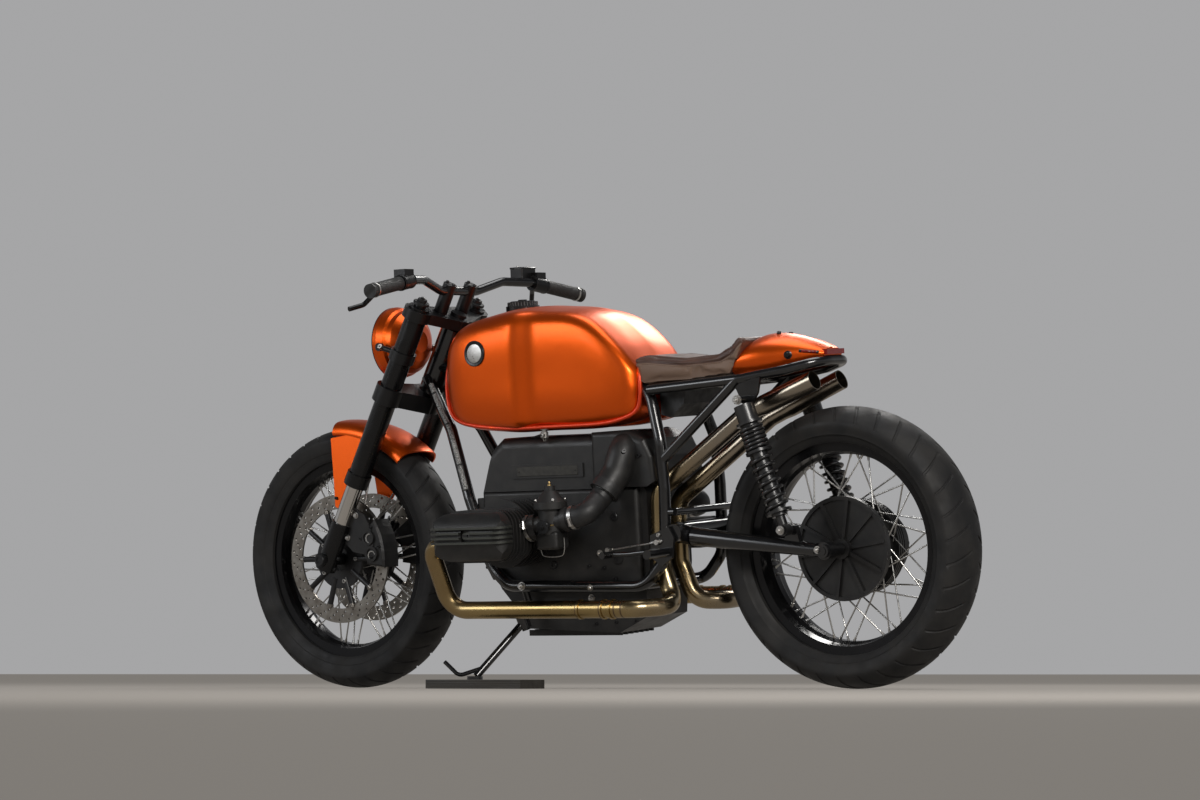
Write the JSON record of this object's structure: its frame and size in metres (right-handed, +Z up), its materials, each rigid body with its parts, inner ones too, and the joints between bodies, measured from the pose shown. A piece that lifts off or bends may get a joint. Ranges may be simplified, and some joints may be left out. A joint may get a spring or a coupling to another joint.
{
  "type": "cafe racer motorcycle",
  "caption": "Cafe racer motorcycle with a finned opposed-cylinder engine, wire wheels, slab tank, short tail and upswept exhaust, leaning on its side stand over a board",
  "frame": {"origin": "bottom centre of the bounding box, on the floor", "axes": "+X forward along the machine, +Y to its left, +Z up; it leans over to +Y on its side stand"},
  "size_m": [2.1014, 0.8436, 1.0458],
  "materials": {
    "black_board": "stained board",
    "black_plastic": "black moulding",
    "brown_leather": "stitched brown leather",
    "clear_lens": "clear glass",
    "disc_steel": "ground steel",
    "engine_black": "matt black engine coating",
    "fork_black": "black anodised tube",
    "frame_black": "gloss black frame paint",
    "gold_pipe": "heat-tinted steel, gold brown",
    "orange_paint": "satin metallic orange",
    "red_lens": "red lens",
    "rim_black": "gloss black",
    "rubber": "moulded rubber",
    "spoke_steel": "bright steel",
    "tyre": "road tyre rubber"
  },
  "bodies": {
    "frame": {"air_box": "engine_black", "carburettor_left": "engine_black", "carburettor_right": "engine_black", "crankcase": "engine_black", "cylinder_left": "engine_black", "cylinder_right": "engine_black", "electrics_tray": "black_plastic", "engine_top_cover": "engine_black", "exhaust_left": "gold_pipe", "exhaust_right": "gold_pipe", "filler_cap": "engine_black", "final_drive": "engine_black", "fuel_tank": "orange_paint", "gearbox": "engine_black", "intake_hoses": "rubber", "main_frame": "frame_black", "oil_pan": "engine_black", "rear_frame": "frame_black", "rearset_left": "frame_black", "rearset_right": "frame_black", "rocker_cover_left": "engine_black", "rocker_cover_right": "engine_black", "seat_pad": "brown_leather", "shock_left": "fork_black", "shock_right": "fork_black", "stand_board": "black_board", "swing_arm": "frame_black", "tail_cowl": "orange_paint", "tail_lamp": "red_lens"},
    "steering": {"fork_left": "fork_black", "fork_right": "fork_black", "front_axle": "spoke_steel", "upper_yoke": "frame_black", "lower_yoke": "frame_black", "handlebar": "frame_black", "grips": "rubber", "controls_left": "frame_black", "controls_right": "frame_black", "headlight_shell": "orange_paint", "headlight_lens": "clear_lens", "headlight_brackets": "frame_black", "front_fender": "orange_paint", "brake_calipers": "engine_black"},
    "front_wheel": {"front_tyre": "tyre", "front_rim": "rim_black", "front_hub": "engine_black", "front_spokes": "spoke_steel", "brake_discs": "disc_steel"},
    "rear_wheel": {"rear_tyre": "tyre", "rear_rim": "rim_black", "rear_hub": "engine_black", "rear_spokes": "spoke_steel"},
    "side_stand": {"side_stand": "frame_black"}
  },
  "joints": [
    {"name": "steering_turn", "type": "hinge", "parent": "frame", "child": "steering", "pos_m": [0.42751, -0.00351, 0.79844], "axis": [-0.4695, 0.0825, 0.8791], "range_deg": [-26.23, 33.77]},
    {"name": "front_wheel_spin", "type": "hinge", "parent": "steering", "child": "front_wheel", "pos_m": [0.72566, -0.05056, 0.32505], "axis": [0.0581, 0.9964, -0.0625], "continuous": true},
    {"name": "rear_wheel_spin", "type": "hinge", "parent": "frame", "child": "rear_wheel", "pos_m": [-0.72427, -0.04787, 0.32557], "axis": [0, 0.9956, -0.0934], "continuous": true},
    {"name": "side_stand_fold", "type": "hinge", "parent": "frame", "child": "side_stand", "pos_m": [0.11573, 0.07907, 0.15848], "axis": [0.2359, 0.2381, 0.9422], "range_deg": [0, 106.8]}
  ]
}
